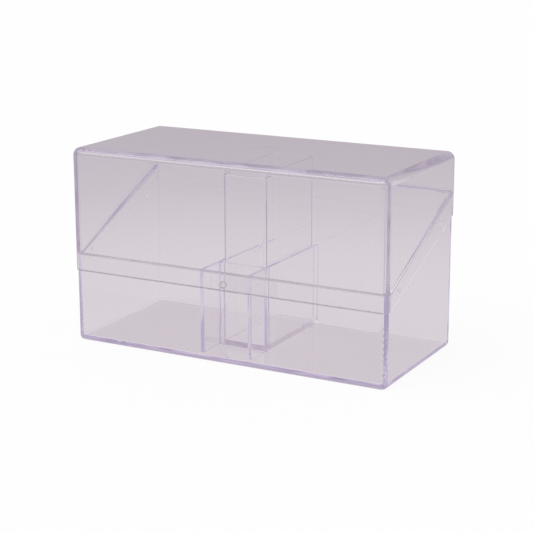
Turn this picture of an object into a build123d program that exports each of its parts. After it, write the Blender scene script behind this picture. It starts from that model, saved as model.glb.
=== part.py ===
from build123d import *
import math
import os

# Clear card box: a tray with raking sides, a lid hinged near the back, a low
# H-shaped divider and a tall open box that stands between its side panels.
# Millimetres. X runs along the box, -Y is the front, +Z is up.
# The origin is the middle of the underside.

# Whole box, measured over the closed lid
box_length = 174.0
box_depth = 81.5
box_height = 100.0
edge_radius = 4.0          # outer edges of the lid

# Lid walls
lid_top = 2.5
lid_front_wall = 1.6
lid_back_wall = 1.6
lid_side_wall = 0.7        # from the hinge back, where it swings down beside the tray
lid_side_front_wall = 3.0  # at the front corners, tapering away towards the hinge
skirt_wall = 0.55          # front wall where it laps over the tray
skirt_front_height = 37.1  # lower edge of the lid, from the underside
skirt_back_height = 69.7
skirt_turn_setback = 2.8   # where the level front edge turns into the rake
skirt_turn_radius = 12.0
back_skirt_cut = 2.6       # side skirts stop this far short of the lid's back
lid_inner_radius = 1.4     # under the top
lid_inner_corner = 2.2     # upright inner corners

# Tray
tray_wall = 2.5
tray_floor = 2.4
tray_edge_radius = 2.4
tray_inner_radius = 1.0    # round the floor
tray_inner_corner = 0.4    # upright inner corners
rim_round = 0.3            # edges of the rims
front_lap = 9.0            # the rim's height above the lid's lower edge, at the front
back_lap = 10.8
lap_recess = 0.4           # depth of the step below the front and back rims
tray_back_inset = 0.25     # tray's back face, in from the lid's

# Hinge, a stud on each tray side in a round hole of the lid
hinge_setback = 18.45      # from the lid's back face
hinge_above_edge = 5.9     # from the lid's raking lower edge
stud_radius = 2.33
stud_end_inset = 0.05
stud_chamfer = 0.15
lug_radius = 6.2

# Snap domes: two on each side of the tray, and the catch at the front
side_dome_radius = 1.6
side_dome_height = 0.08
back_dome_setback = 10.75
back_dome_above_edge = 5.4
front_dome_setback = 12.75
front_dome_above_edge = 3.2
dome_root = 0.3            # how far a dome is rooted in its wall
dimple_depth = 0.25
catch_radius = 1.75
catch_height = 0.4
catch_above_edge = 2.8
catch_dimple_depth = 0.33
catch_pad_width = 13.0
catch_pad_depth = 0.2
catch_pad_margin = 1.0

# Round gate wells left plain
gate_radius = 8.5
gate_depth = 0.25
floor_gate_radius = 1.6
floor_gate_height = 0.3

# H-shaped divider
divider_width = 28.6
divider_wall = 2.0
divider_height = 42.4
divider_offset = -1.35     # it stands loose, a little left of the middle
divider_front_setback = 4.0
cross_panel_back = 21.3    # back face of the cross panel, from the tray's inner front
divider_fillet = 0.8       # where the cross panel meets the side panels
divider_edge = 0.3         # rounding of its top edges

# Tall open box
tall_wall = 1.4
tall_floor = 2.0
tall_height = 86.6
tall_corner_radius = 3.0
tall_edge = 0.4            # rounding of its rim
tall_back_gap = 0.7

# Clearances
side_gap = 0.12            # tray side to lid side
front_gap = 0.15           # tray front rim to lid skirt
rim_gap = 0.2              # above the tray's rim and below the lid's skirt
hinge_clearance = 0.07
dimple_clearance = 0.15
swing_clearance = 0.4      # between the tray's back rim and the lid's back edge
stand_gap = 0.1            # under a piece that stands on the tray's floor
insert_gap = 0.3           # between the divider and the tray's back wall
tall_side_gap = 0.3
tall_front_gap = 0.3

# Planes that follow from the sizes above
half_length = box_length / 2
half_depth = box_depth / 2
lid_inner_x = half_length - lid_side_wall
lid_inner_front = -half_depth + lid_front_wall
lid_inner_back = half_depth - lid_back_wall
skirt_inner_front = -half_depth + skirt_wall
tray_x = lid_inner_x - side_gap
rim_front = skirt_inner_front + front_gap
tray_front = rim_front - lap_recess
tray_back = half_depth - tray_back_inset
tray_inner_x = tray_x - tray_wall
tray_inner_front = tray_front + tray_wall
tray_inner_back = tray_back - tray_wall
rim_back = tray_back - lap_recess
rim_front_height = skirt_front_height + front_lap
rim_back_height = skirt_back_height + back_lap
skirt_radius = edge_radius - skirt_wall
tray_corner_radius = skirt_radius - side_gap
hinge_y = half_depth - hinge_setback
stand_z = tray_floor + stand_gap
rake_start = rim_front + tray_corner_radius + rim_gap
past = 2 * edge_radius     # how far a cutting block runs past a face
fillet_margin = 0.01       # keeps the top's rounding just short of the corners' radius


def edge_height(y):
    # Height of the lid's raking lower edge above the underside
    rise = (skirt_back_height - skirt_front_height) / box_depth
    return skirt_front_height + rise * (y + half_depth)


def rim_height(y):
    # Height of the tray's raking rim
    rise = (rim_back_height - rim_front_height) / (tray_back - rake_start)
    return rim_front_height + rise * (y - rake_start)


hinge_z = edge_height(hinge_y) + hinge_above_edge
catch_z = skirt_front_height + catch_above_edge


def block(x0, x1, y0, y1, z0, z1):
    return Pos(x0, y0, z0) * Box(x1 - x0, y1 - y0, z1 - z0, align=(Align.MIN,) * 3)


def rounded_plan(x, y0, y1, radius):
    # Plan outline, as wide as 2 x, with rounded corners
    plan = Pos(0, (y0 + y1) / 2) * Rectangle(2 * x, y1 - y0)
    return fillet(plan.vertices(), radius)


def prism(plan, z0, z1):
    return extrude(Pos(0, 0, z0) * plan, z1 - z0)


def across(points, corner=None, radius=0):
    # A side-view outline in Y and Z, carried over the whole length of the box
    outline = make_face(Polyline(*points, close=True))
    if corner is not None:
        outline = fillet(outline.vertices().sort_by_distance(corner)[0], radius)
    return extrude(Plane.YZ * outline, half_length + past, both=True)


def bar_along_x(y, z, radius, x0, x1):
    bar = Cylinder(radius, x1 - x0, align=(Align.CENTER, Align.CENTER, Align.MIN))
    return Pos(x0, y, z) * Rot(0, 90, 0) * bar


def both_ends(piece):
    return [piece, mirror(piece, Plane.YZ)]


def dome(radius, height):
    # A low round bump on the XY plane, with a short root below it
    ball_radius = (radius ** 2 + height ** 2) / (2 * height)
    ball = Pos(0, 0, height - ball_radius) * Sphere(ball_radius)
    column = Cylinder(radius, height + dome_root, align=(Align.CENTER, Align.CENTER, Align.MIN))
    return ball & (Pos(0, 0, -dome_root) * column)


def side_dome_places():
    # Y and Z of the snap domes on a tray side
    back_y = half_depth - back_dome_setback
    front_y = -half_depth + front_dome_setback
    return [
        (back_y, edge_height(back_y) + back_dome_above_edge),
        (front_y, edge_height(front_y) + front_dome_above_edge),
    ]


def tray_shell():
    lower_plan = rounded_plan(tray_x, tray_front, tray_back, tray_corner_radius)
    middle_plan = rounded_plan(tray_x, rim_front, tray_back, tray_corner_radius)
    upper_plan = rounded_plan(tray_x, rim_front, rim_back, tray_corner_radius)
    outer = prism(lower_plan, 0, skirt_front_height - rim_gap)
    outer += prism(middle_plan, 0, skirt_back_height)
    outer += prism(upper_plan, 0, rim_back_height)
    outer = fillet(outer.faces().sort_by(Axis.Z)[0].edges(), tray_edge_radius)
    cavity = block(
        -tray_inner_x, tray_inner_x, tray_inner_front, tray_inner_back,
        tray_floor, rim_back_height + past
    )
    cavity = fillet(cavity.faces().sort_by(Axis.Z)[0].edges(), tray_inner_radius)
    cavity = fillet(cavity.edges().filter_by(Axis.Z), tray_inner_corner)
    return outer - cavity


def above_rim(gap=0):
    # All that is over the level front rim and the raking side rims, by a gap or more
    far = half_depth + past
    near = -half_depth - past
    top = rim_height(far) + gap + past
    return across([
        (near, rim_front_height + gap),
        (rake_start, rim_front_height + gap),
        (far, rim_height(far) + gap),
        (far, top),
        (near, top),
    ])


def beyond_swing():
    # Rounds the top of the back wall about the hinge, inside the lid's swing
    reach = math.hypot(lid_inner_back - hinge_y, rim_back_height - hinge_z)
    rim_reach = reach - swing_clearance
    behind = block(
        -half_length, half_length, hinge_y, tray_back + past, hinge_z, rim_back_height + past
    )
    return behind - bar_along_x(hinge_y, hinge_z, rim_reach, -half_length, half_length)


def rounded_rim(tray):
    # Rounds the free edges of the front, side and back rims
    rims = [
        face for face in tray.faces()
        if face.center().Z > rim_front_height - rim_gap
        and abs(face.center().Z - skirt_back_height) > rim_gap
        and face.normal_at(face.center()).Z > 0.5
    ]
    edges = [edge for face in rims for edge in face.edges()]
    free = [edge for edge in edges if sum(edge.is_same(other) for other in edges) == 1]
    return fillet(free, rim_round)


def front_catch():
    bump = dome(catch_radius, catch_height + catch_pad_depth)
    return Pos(0, rim_front + catch_pad_depth, catch_z) * Rot(90, 0, 0) * bump


def catch_pad():
    half = catch_pad_width / 2
    low = skirt_front_height - rim_gap
    high = rim_front_height - catch_pad_margin
    return block(-half, half, rim_front - past, rim_front + catch_pad_depth, low, high)


def make_tray():
    tray = rounded_rim(tray_shell() - above_rim() - beyond_swing())
    tray -= catch_pad()
    tray += front_catch()
    stud = bar_along_x(hinge_y, hinge_z, stud_radius, tray_x - dome_root, half_length - stud_end_inset)
    stud = chamfer(stud.edges().sort_by(Axis.X)[-1], stud_chamfer)
    for piece in both_ends(stud):
        tray += piece
    for y, z in side_dome_places():
        bump = Pos(tray_x, y, z) * Rot(0, 90, 0) * dome(side_dome_radius, side_dome_height)
        for piece in both_ends(bump):
            tray += piece
    gate = Pos(0, (tray_inner_front + divider_front()) / 2, tray_floor)
    tray += gate * dome(floor_gate_radius, floor_gate_height)
    return tray


def lid_inner_plan():
    # Straight at the back, drawing in from the hinge to the thick front corners
    front_x = half_length - lid_side_front_wall
    taper_end = hinge_y - lug_radius
    corners = [
        (front_x, lid_inner_front),
        (lid_inner_x, taper_end),
        (lid_inner_x, lid_inner_back),
    ]
    return make_face(Polyline(*corners, *[(-x, y) for x, y in reversed(corners)], close=True))


def lid_shell():
    plan = rounded_plan(half_length, -half_depth, half_depth, edge_radius)
    outer = prism(plan, skirt_front_height, box_height)
    outer = fillet(outer.faces().sort_by(Axis.Z)[-1].edges(), edge_radius - fillet_margin)
    low = skirt_front_height - past
    cavity = prism(lid_inner_plan(), low, box_height - lid_top)
    cavity = fillet(cavity.edges().filter_by(Axis.Z), lid_inner_corner)
    cavity = fillet(cavity.faces().sort_by(Axis.Z)[-1].edges(), lid_inner_radius)
    lap_plan = rounded_plan(lid_inner_x, skirt_inner_front, lid_inner_back, skirt_radius)
    lap = prism(lap_plan, low, rim_back_height + past) - above_rim(rim_gap)
    return outer - cavity - lap


def below_skirt():
    # What is cut away under the lid's edge, apart from the hinge lugs
    far = half_depth + past
    near = -half_depth - past
    turn = (-half_depth + skirt_turn_setback, skirt_front_height)
    floor_level = skirt_front_height - past
    under = across([
        (near, floor_level),
        (near, skirt_front_height),
        turn,
        (far, edge_height(far)),
        (far, floor_level),
    ], corner=turn + (0,), radius=skirt_turn_radius)
    return under - bar_along_x(hinge_y, hinge_z, lug_radius, -half_length, half_length)


def back_opening():
    # The back wall stops level with the tray's back rim, the side skirts run on below it
    low = skirt_front_height - past
    far = half_depth + past
    skirt_end = half_depth - back_skirt_cut
    between = block(
        -lid_inner_x, lid_inner_x, lid_inner_back - skirt_radius, far, low, rim_back_height
    )
    return between + block(-half_length, half_length, skirt_end, far, low, rim_back_height)


def make_lid():
    lid = lid_shell() - below_skirt() - back_opening()
    hole_radius = stud_radius + hinge_clearance
    hole = bar_along_x(hinge_y, hinge_z, hole_radius, lid_inner_x - past, half_length + past)
    for piece in both_ends(hole):
        lid -= piece
    for y, z in side_dome_places():
        dimple_radius = side_dome_radius + dimple_clearance
        dimple = bar_along_x(y, z, dimple_radius, lid_inner_x - side_gap, lid_inner_x + dimple_depth)
        for piece in both_ends(dimple):
            lid -= piece
    catch_hole = Cylinder(catch_radius + dimple_clearance, 2 * catch_dimple_depth)
    lid -= Pos(0, skirt_inner_front, catch_z) * Rot(90, 0, 0) * catch_hole
    well = Cylinder(gate_radius, 2 * gate_depth)
    lid -= Pos(0, 0, box_height - lid_top) * well
    return lid


def divider_front():
    return tray_inner_front + divider_front_setback


def cross_panel_face():
    return tray_inner_front + cross_panel_back


def make_divider():
    half = divider_width / 2
    back = tray_inner_back - insert_gap
    top = stand_z + divider_height
    right = block(half - divider_wall, half, divider_front(), back, stand_z, top)
    cross = block(
        -half, half, cross_panel_face() - divider_wall, cross_panel_face(), stand_z, top
    )
    divider = cross
    for piece in both_ends(right):
        divider += piece
    heel = divider.edges().filter_by(Axis.X).group_by(Axis.Y)[-1].group_by(Axis.Z)[0]
    divider = chamfer(heel, tray_inner_radius)
    inner_corners = [
        edge for edge in divider.edges().filter_by(Axis.Z)
        if abs(abs(edge.center().X) - half + divider_wall) < divider_fillet
        and abs(edge.center().Y - cross_panel_face() + divider_wall) < divider_fillet
    ]
    divider = fillet(inner_corners, divider_fillet)
    divider = fillet(divider.faces().sort_by(Axis.Z)[-1].edges(), divider_edge)
    return Pos(divider_offset, 0, 0) * divider


def make_tall_box():
    half = divider_width / 2 - divider_wall - tall_side_gap
    front = cross_panel_face() + tall_front_gap
    back = tray_inner_back - tall_back_gap
    outer_plan = rounded_plan(half, front, back, tall_corner_radius)
    inner_radius = tall_corner_radius - tall_wall
    inner_plan = rounded_plan(half - tall_wall, front + tall_wall, back - tall_wall, inner_radius)
    outer = prism(outer_plan, stand_z, stand_z + tall_height)
    cavity = prism(inner_plan, stand_z + tall_floor, stand_z + tall_height + past)
    tall_box = outer - cavity
    tall_box = fillet(tall_box.faces().sort_by(Axis.Z)[-1].edges(), tall_edge)
    return Pos(divider_offset, 0, 0) * tall_box


pieces = {
    "base_tray": make_tray(),
    "lid": make_lid(),
    "divider": make_divider(),
    "tall_box": make_tall_box(),
}

os.makedirs("parts", exist_ok=True)
for name, piece in pieces.items():
    export_step(piece, f"parts/{name}.step")
    box = piece.bounding_box()
    print(name, "solids", len(piece.solids()), "volume", round(piece.volume, 1), box.min, box.max)
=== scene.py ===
import math

import bmesh
import bpy
from mathutils import Euler, Matrix, Vector

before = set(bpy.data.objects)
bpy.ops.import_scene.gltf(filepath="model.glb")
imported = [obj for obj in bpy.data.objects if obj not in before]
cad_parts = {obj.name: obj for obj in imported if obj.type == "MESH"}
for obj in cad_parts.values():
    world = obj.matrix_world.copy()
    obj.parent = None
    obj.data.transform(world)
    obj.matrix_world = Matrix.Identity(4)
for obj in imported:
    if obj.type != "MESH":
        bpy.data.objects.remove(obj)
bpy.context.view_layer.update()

mm = 0.001


def hexColour(code):
    # sRGB hex to the linear values that a shader takes
    parts = [int(code[i:i + 2], 16) / 255 for i in (0, 2, 4)]
    line = [p / 12.92 if p <= 0.04045 else ((p + 0.055) / 1.055) ** 2.4 for p in parts]
    return (*line, 1.0)


def addNode(tree, kind, settings=None, links=None):
    # one node, with its settings and what feeds it
    node = tree.nodes.new(kind)
    for name, value in (settings or {}).items():
        if isinstance(name, int) or name in node.inputs:
            node.inputs[name].default_value = value
        else:
            setattr(node, name, value)
    for name, source in (links or {}).items():
        tree.links.new(source, node.inputs[name])
    return node


def labelled(tree, label):
    return next(node for node in tree.nodes if node.label == label)


def newMaterial(name):
    material = bpy.data.materials.new(name)
    material.use_nodes = True
    material.node_tree.nodes.clear()
    return material, material.node_tree


# Crystal polystyrene, injection moulded in a polished tool: water clear, with a high index, so
# the flat walls almost vanish and what stands behind them shows, while every edge and corner
# gathers light along the wall. Where the render stops following that light, a painted
# mauve-grey glow takes its place, so the edges show as soft mauve-grey lines.
styrene = {
    "ior": 1.57,
    "roughness": 0.012,
    "dullRoughness": 0.45,   # where the tool leaves the surface dull
    "cast": "BC9BD9",        # what a long path through the plastic turns white light to
    "castDensity": 3.0,      # per metre
    "flowSize": 22.0,        # mm between the slow waves that moulding leaves in a wall
    "flowDetail": 1.0,
    "flowRoughness": 0.4,
    "flowBump": 0.06,
    "flowHeight": 0.02,      # mm
    "edgeBounces": 4.5,      # past this many reflections, light counts as caught inside an edge
    "edgeDrift": 16.0,       # mm between darker and lighter patches of painted glow along an edge
    "driftDetail": 1.0,
    "driftFrom": 0.38,       # noise values where the darker tone ends and the lighter one begins
    "driftTo": 0.62,
    "depthBounces": 12.5,    # past this many walls, light is no longer traced
    "depthGlowTone": "D2CAD2",   # painted glow for the light taken to arrive from behind them
}


def paintedEdgeGlow(tree, edgeGlowTones):
    # Painted glow that stands in for the light going round and round inside an edge, darker in
    # some places than others
    coords = addNode(tree, "ShaderNodeTexCoord")
    drift = addNode(
        tree, "ShaderNodeTexNoise",
        {"Scale": 1 / (styrene["edgeDrift"] * mm), "Detail": styrene["driftDetail"]},
        {"Vector": coords.outputs["Object"]},
    )
    share = addNode(
        tree, "ShaderNodeMapRange",
        {"From Min": styrene["driftFrom"], "From Max": styrene["driftTo"]},
        {"Value": drift.outputs["Fac"]},
    )
    dark, light = edgeGlowTones
    tone = addNode(
        tree, "ShaderNodeMix",
        {"data_type": "RGBA", "label": "painted edge glow", 6: hexColour(dark), 7: hexColour(light)},
        {0: share.outputs[0]},
    )
    return tone.outputs[2]


def paintedLostGlow(tree, edgeGlowTones):
    # Colour and strength of the painted glow that stands in for the light on the paths that end
    # inside the plastic, where the render stops following them and would leave black
    path = addNode(tree, "ShaderNodeLightPath")
    inEdge = addNode(
        tree, "ShaderNodeMath", {"operation": "GREATER_THAN", 1: styrene["edgeBounces"]},
        {0: path.outputs["Glossy Depth"]},
    )
    deep = addNode(
        tree, "ShaderNodeMath", {"operation": "GREATER_THAN", 1: styrene["depthBounces"]},
        {0: path.outputs["Ray Depth"]},
    )
    tone = addNode(
        tree, "ShaderNodeMix",
        {"data_type": "RGBA", "label": "painted lost glow", 6: hexColour(styrene["depthGlowTone"])},
        {0: inEdge.outputs[0], 7: paintedEdgeGlow(tree, edgeGlowTones)},
    )
    either = addNode(
        tree, "ShaderNodeMath", {"operation": "MAXIMUM"}, {0: inEdge.outputs[0], 1: deep.outputs[0]}
    )
    return tone.outputs[2], either.outputs[0]


def clearStyrene(name, piece):
    material, tree = newMaterial(name)
    out = addNode(tree, "ShaderNodeOutputMaterial")
    coords = addNode(tree, "ShaderNodeTexCoord")
    turned = addNode(
        tree, "ShaderNodeMapping", {"Rotation": piece["flowTurn"]},
        {"Vector": coords.outputs["Object"]},
    )
    waves = addNode(
        tree, "ShaderNodeTexNoise",
        {
            "Scale": 1 / (styrene["flowSize"] * mm),
            "Detail": styrene["flowDetail"],
            "Roughness": styrene["flowRoughness"],
        },
        {"Vector": turned.outputs["Vector"]},
    )
    flow = addNode(
        tree, "ShaderNodeBump",
        {
            "label": "flow",
            "Strength": styrene["flowBump"],
            "Distance": styrene["flowHeight"] * mm,
        },
        {"Height": waves.outputs["Fac"]},
    )
    # the painted glow for light lost inside the plastic goes in as the surface's emission
    tone, strength = paintedLostGlow(tree, piece["edgeGlowTones"])
    surface = addNode(
        tree, "ShaderNodeBsdfPrincipled",
        {
            "label": "surface",
            "Base Color": hexColour(piece["tint"]),
            "Roughness": styrene["roughness"],
            "IOR": styrene["ior"],
            "Transmission Weight": 1.0,
        },
        {"Normal": flow.outputs["Normal"], "Emission Color": tone, "Emission Strength": strength},
    )
    cast = addNode(
        tree, "ShaderNodeVolumeAbsorption",
        {"Color": hexColour(styrene["cast"]), "Density": styrene["castDensity"]},
    )
    tree.links.new(surface.outputs["BSDF"], out.inputs["Surface"])
    tree.links.new(cast.outputs["Volume"], out.inputs["Volume"])
    material.cycles.emission_sampling = "NONE"
    return material


def finishPiece(node, piece):
    # gives the moulding its own clear plastic and hands back its nodes
    material = clearStyrene(f"clearStyrene_{node}", piece)
    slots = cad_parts[node].data.materials
    slots.clear()
    slots.append(material)
    return material.node_tree


def keepsTo(tree, limits):
    # 1 on the part of a piece that keeps to every limit, in mm, where X counts to either side
    coords = addNode(tree, "ShaderNodeTexCoord")
    place = addNode(tree, "ShaderNodeSeparateXYZ", {}, {0: coords.outputs["Object"]})
    beside = addNode(tree, "ShaderNodeMath", {"operation": "ABSOLUTE"}, {0: place.outputs["X"]})
    values = {"X": beside.outputs[0], "Y": place.outputs["Y"], "Z": place.outputs["Z"]}
    inside = None
    for axis, operation, limit in limits:
        kept = addNode(
            tree, "ShaderNodeMath", {"operation": operation, 1: limit * mm}, {0: values[axis]}
        )
        if inside is not None:
            kept = addNode(
                tree, "ShaderNodeMath", {"operation": "MULTIPLY"},
                {0: inside.outputs[0], 1: kept.outputs[0]},
            )
        inside = kept
    return inside.outputs[0]


def makeDull(tree, share):
    roughness = addNode(
        tree, "ShaderNodeMapRange",
        {"To Min": styrene["roughness"], "To Max": styrene["dullRoughness"]}, {"Value": share},
    )
    tree.links.new(roughness.outputs[0], labelled(tree, "surface").inputs["Roughness"])


# The tray's rim is left dull by the line where its mould parts, and so is the ring of the catch.
# Both scatter what passes through, so they show as fine grey lines across the clear walls. The
# climbing side rims get a lighter painted glow, a painted highlight for light from above. The
# front corners carry the fine slanting ripples that the tool left, which break their tone into
# stripes.
tray = {
    "tint": "FEFEFE",
    "edgeGlowTones": ("ACA0BD", "D6CDE0"),   # darkest and lightest painted glow in its edges
    "flowTurn": (0.0, 0.0, 0.0),
    "rimHeight": 46.1,       # of the level front rim, mm
    "rimDepth": 0.9,         # how far its dull band reaches down the wall, mm
    "rakeStart": -36.5,      # mm from the middle, where the side rims start to climb
    "rake": 0.4466,          # mm up for each mm towards the back
    "catchHeight": 39.9,     # mm
    "catchRadius": 1.5,      # of its ring, mm
    "catchLine": 0.35,       # half the ring's width, mm
    "catchLimits": (("Y", "LESS_THAN", 0.0),),
    # painted highlight tone for the glow on the climbing side rims
    "rakeHighlightTone": "D6CEDD",
    "rakeLimits": (("X", "GREATER_THAN", 80.0), ("Z", "GREATER_THAN", 50.0)),
    "ripplePitch": 3.2,      # mm
    "rippleTilt": 1.2,       # mm up for each mm to the right
    "rippleHeight": 0.06,    # mm
    "rippleLimits": (
        ("X", "GREATER_THAN", 83.5), ("Z", "LESS_THAN", 30.0), ("Y", "LESS_THAN", -37.5),
    ),
}


def rimBand(tree):
    # 1 in the band below the level front rim and the climbing side rims
    coords = addNode(tree, "ShaderNodeTexCoord")
    place = addNode(tree, "ShaderNodeSeparateXYZ", {}, {0: coords.outputs["Object"]})
    start = -tray["rake"] * tray["rakeStart"] * mm
    climb = addNode(
        tree, "ShaderNodeMath", {"operation": "MULTIPLY_ADD", 1: tray["rake"], 2: start},
        {0: place.outputs["Y"]},
    )
    rise = addNode(
        tree, "ShaderNodeMath", {"operation": "MAXIMUM", 1: 0.0}, {0: climb.outputs[0]}
    )
    level = addNode(
        tree, "ShaderNodeMath", {"operation": "SUBTRACT"},
        {0: place.outputs["Z"], 1: rise.outputs[0]},
    )
    bottom = (tray["rimHeight"] - tray["rimDepth"]) * mm
    band = addNode(
        tree, "ShaderNodeMath", {"operation": "GREATER_THAN", 1: bottom}, {0: level.outputs[0]}
    )
    return band.outputs[0]


def catchRing(tree):
    # 1 on the ring round the catch, on the front wall alone
    coords = addNode(tree, "ShaderNodeTexCoord")
    facing = addNode(
        tree, "ShaderNodeVectorMath", {"operation": "MULTIPLY", 1: (1.0, 0.0, 1.0)},
        {0: coords.outputs["Object"]},
    )
    middle = (0.0, 0.0, tray["catchHeight"] * mm)
    away = addNode(
        tree, "ShaderNodeVectorMath", {"operation": "DISTANCE", 1: middle},
        {0: facing.outputs["Vector"]},
    )
    ring = addNode(
        tree, "ShaderNodeMath",
        {"operation": "COMPARE", 1: tray["catchRadius"] * mm, 2: tray["catchLine"] * mm},
        {0: away.outputs["Value"]},
    )
    front = addNode(
        tree, "ShaderNodeMath", {"operation": "MULTIPLY"},
        {0: ring.outputs[0], 1: keepsTo(tree, tray["catchLimits"])},
    )
    return front.outputs[0]


def paintRakeHighlight(tree):
    # paints the glow on the climbing side rims lighter, as a painted highlight
    tone = addNode(
        tree, "ShaderNodeMix", {"data_type": "RGBA", 7: hexColour(tray["rakeHighlightTone"])},
        {0: keepsTo(tree, tray["rakeLimits"]), 6: labelled(tree, "painted edge glow").outputs[2]},
    )
    tree.links.new(tone.outputs[2], labelled(tree, "painted lost glow").inputs[7])


def rippleCorners(tree):
    coords = addNode(tree, "ShaderNodeTexCoord")
    turns = 2 * math.pi / (tray["ripplePitch"] * mm)
    slant = addNode(
        tree, "ShaderNodeVectorMath",
        {"operation": "DOT_PRODUCT", 1: (-tray["rippleTilt"] * turns, 0.0, turns)},
        {0: coords.outputs["Object"]},
    )
    wave = addNode(tree, "ShaderNodeMath", {"operation": "SINE"}, {0: slant.outputs["Value"]})
    height = addNode(
        tree, "ShaderNodeMath", {"operation": "MULTIPLY"},
        {0: wave.outputs[0], 1: keepsTo(tree, tray["rippleLimits"])},
    )
    ripples = addNode(
        tree, "ShaderNodeBump", {"Distance": tray["rippleHeight"] * mm},
        {"Height": height.outputs[0], "Normal": labelled(tree, "flow").outputs["Normal"]},
    )
    tree.links.new(ripples.outputs["Normal"], labelled(tree, "surface").inputs["Normal"])


print("tray")
trayNodes = finishPiece("base_tray", tray)
dullPlaces = addNode(
    trayNodes, "ShaderNodeMath", {"operation": "MAXIMUM"},
    {0: rimBand(trayNodes), 1: catchRing(trayNodes)},
)
makeDull(trayNodes, dullPlaces.outputs[0])
paintRakeHighlight(trayNodes)
rippleCorners(trayNodes)

# The lid's skirt is dull along its level front edge, as the tray's rim is.
lid = {
    "tint": "FEFEFE",
    # darkest and lightest painted glow in its edges
    "edgeGlowTones": ("A89DB0", "C0B5C6"),
    "flowTurn": (0.4, 0.2, 0.0),
    "dullLimits": (
        ("Z", "LESS_THAN", 37.7), ("Y", "LESS_THAN", -38.0), ("X", "LESS_THAN", 84.5),
    ),
}

print("lid")
lidNodes = finishPiece("lid", lid)
makeDull(lidNodes, keepsTo(lidNodes, lid["dullLimits"]))

# The two inner pieces have thin walls, which lose less light than those of the lid and the tray,
# so their edges get a lighter painted glow.
divider = {
    "tint": "FFFFFF",
    "edgeGlowTones": ("B5A9C6", "D6CDDE"),
    "flowTurn": (0.0, 0.5, 0.3),
}

print("divider")
finishPiece("divider", divider)

tallBox = {
    "tint": "FFFFFF",
    "edgeGlowTones": ("A69CB0", "BDB2C5"),
    "flowTurn": (0.3, 0.0, 0.6),
}

print("tall box")
finishPiece("tall_box", tallBox)

# A pale floor of matt paper under soft light. The camera sees it and the sky as white. The clear
# plastic and its reflections see the floor with a painted mauve-grey glow, lighter under and near
# the box and darker farther out.
studio = {
    "floorSize": 12.0,       # metres
    "floorDrop": 0.02,       # mm below the box
    "floorColour": "E6E6E6",
    "floorGlowShare": 0.94,      # share of painted glow; the rest takes light and shadow
    # metres from the box and painted glow tone, then height in the sky and tone
    "floorGlowTones": ((0.10, "DED5DC"), (0.20, "D9D0D7"), (0.40, "C8C0C8"), (0.70, "BFB6BF")),
    "skyTones": (
        (0.03, "BFB6BF"), (0.10, "BAB1BA"), (0.45, "BAB1BA"), (0.75, "D8D0D7"), (0.90, "FFFFFF"),
    ),
    "background": "FFFFFF",
    "worldColour": "FFFFFF",
    "worldLevel": 0.8,
    "keyLevel": 1.2,
    "keySoftness": 50.0,     # degrees
    "keyTurn": (38.0, 0.0, -40.0),
}


def seenDirectly(tree):
    # 1 where the camera, a reflection or a look through the plastic meets the surface
    path = addNode(tree, "ShaderNodeLightPath")
    camera = addNode(
        tree, "ShaderNodeMath", {"operation": "MAXIMUM"},
        {0: path.outputs["Is Camera Ray"], 1: path.outputs["Is Glossy Ray"]},
    )
    both = addNode(
        tree, "ShaderNodeMath", {"operation": "MAXIMUM"},
        {0: camera.outputs[0], 1: path.outputs["Is Transmission Ray"]},
    )
    return both.outputs[0]


def setTones(ramp, tones):
    stops = ramp.color_ramp.elements
    while len(stops) < len(tones):
        stops.new(1.0)
    for stop, (position, tone) in zip(stops, tones):
        stop.position = position
        stop.color = hexColour(tone)


def whiteToCamera(tree, tone):
    path = addNode(tree, "ShaderNodeLightPath")
    mixed = addNode(
        tree, "ShaderNodeMix", {"data_type": "RGBA", 7: hexColour(studio["background"])},
        {0: path.outputs["Is Camera Ray"], 6: tone},
    )
    return mixed.outputs[2]


def makeFloor():
    mesh = bpy.data.meshes.new("floor")
    shape = bmesh.new()
    bmesh.ops.create_grid(shape, x_segments=1, y_segments=1, size=studio["floorSize"] / 2)
    bmesh.ops.translate(shape, verts=shape.verts, vec=(0.0, 0.0, -studio["floorDrop"] * mm))
    shape.to_mesh(mesh)
    shape.free()
    floor = bpy.data.objects.new("floor", mesh)
    bpy.context.scene.collection.objects.link(floor)

    material, tree = newMaterial("floorPaper")
    out = addNode(tree, "ShaderNodeOutputMaterial")
    paper = addNode(tree, "ShaderNodeBsdfDiffuse", {"Color": hexColour(studio["floorColour"])})
    coords = addNode(tree, "ShaderNodeTexCoord")
    away = addNode(
        tree, "ShaderNodeVectorMath", {"operation": "LENGTH"}, {0: coords.outputs["Object"]}
    )
    tones = addNode(tree, "ShaderNodeValToRGB", {}, {0: away.outputs["Value"]})
    setTones(tones, studio["floorGlowTones"])
    glow = addNode(
        tree, "ShaderNodeEmission", {"Strength": 1.0},
        {"Color": whiteToCamera(tree, tones.outputs[0])},
    )
    share = addNode(
        tree, "ShaderNodeMath", {"operation": "MULTIPLY", 1: studio["floorGlowShare"]},
        {0: seenDirectly(tree)},
    )
    both = addNode(
        tree, "ShaderNodeMixShader", {},
        {0: share.outputs[0], 1: paper.outputs[0], 2: glow.outputs[0]},
    )
    tree.links.new(both.outputs[0], out.inputs["Surface"])
    mesh.materials.append(material)


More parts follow.
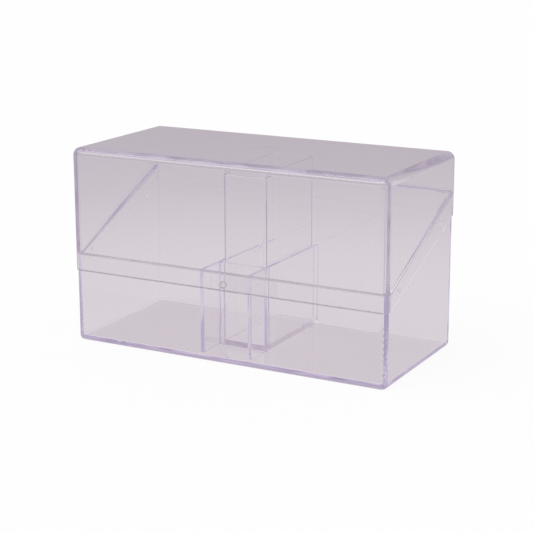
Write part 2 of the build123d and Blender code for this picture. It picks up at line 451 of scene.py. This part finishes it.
def makeWorld():
    world = bpy.data.worlds.new("studioLight")
    bpy.context.scene.world = world
    world.use_nodes = True
    tree = world.node_tree
    tree.nodes.clear()
    out = addNode(tree, "ShaderNodeOutputWorld")
    light = addNode(
        tree, "ShaderNodeBackground",
        {"Color": hexColour(studio["worldColour"]), "Strength": studio["worldLevel"]},
    )
    coords = addNode(tree, "ShaderNodeTexCoord")
    direction = addNode(tree, "ShaderNodeSeparateXYZ", {}, {0: coords.outputs["Generated"]})
    tones = addNode(tree, "ShaderNodeValToRGB", {}, {0: direction.outputs["Z"]})
    setTones(tones, studio["skyTones"])
    sky = addNode(
        tree, "ShaderNodeBackground", {"Strength": 1.0},
        {"Color": whiteToCamera(tree, tones.outputs[0])},
    )
    mixed = addNode(
        tree, "ShaderNodeMixShader", {},
        {0: seenDirectly(tree), 1: light.outputs[0], 2: sky.outputs[0]},
    )
    tree.links.new(mixed.outputs[0], out.inputs["Surface"])


def makeLamps():
    lamp = bpy.data.lights.new("softKey", "SUN")
    lamp.energy = studio["keyLevel"]
    lamp.angle = math.radians(studio["keySoftness"])
    holder = bpy.data.objects.new("softKey", lamp)
    bpy.context.scene.collection.objects.link(holder)
    holder.rotation_euler = Euler([math.radians(a) for a in studio["keyTurn"]])
    holder.visible_transmission = False   # it glints on the plastic but not through it


print("studio")
makeFloor()
makeWorld()
makeLamps()

# The photograph's camera, with its frame taken as 533 by 533 pixels
view = {
    "framePixels": 533,
    "focalPixels": 1485.0,
    "sensorWidth": 36.0,               # mm
    "place": (348.1, -636.0, 229.5),   # mm
    "aim": (0.0, 0.0, 50.0),           # mm
    "aimPixel": (262.4, 247.07),
    "roll": -0.21,                     # degrees
    "clipStart": 0.01,                 # metres
    "clipEnd": 50.0,
}


def makeCamera():
    data = bpy.data.cameras.new("camera")
    camera = bpy.data.objects.new("camera", data)
    bpy.context.scene.collection.objects.link(camera)
    bpy.context.scene.camera = camera
    data.sensor_width = view["sensorWidth"]
    data.lens = view["focalPixels"] / view["framePixels"] * view["sensorWidth"]
    middle = view["framePixels"] / 2
    data.shift_x = (middle - view["aimPixel"][0]) / view["framePixels"]
    data.shift_y = (view["aimPixel"][1] - middle) / view["framePixels"]
    place = Vector(view["place"]) * mm
    look = (Vector(view["aim"]) * mm - place).to_track_quat("-Z", "Y").to_matrix().to_4x4()
    roll = Matrix.Rotation(math.radians(view["roll"]), 4, "Z")
    camera.matrix_world = Matrix.Translation(place) @ look @ roll
    data.clip_start = view["clipStart"]
    data.clip_end = view["clipEnd"]


print("camera")
makeCamera()
bpy.context.scene.view_settings.view_transform = "Standard"
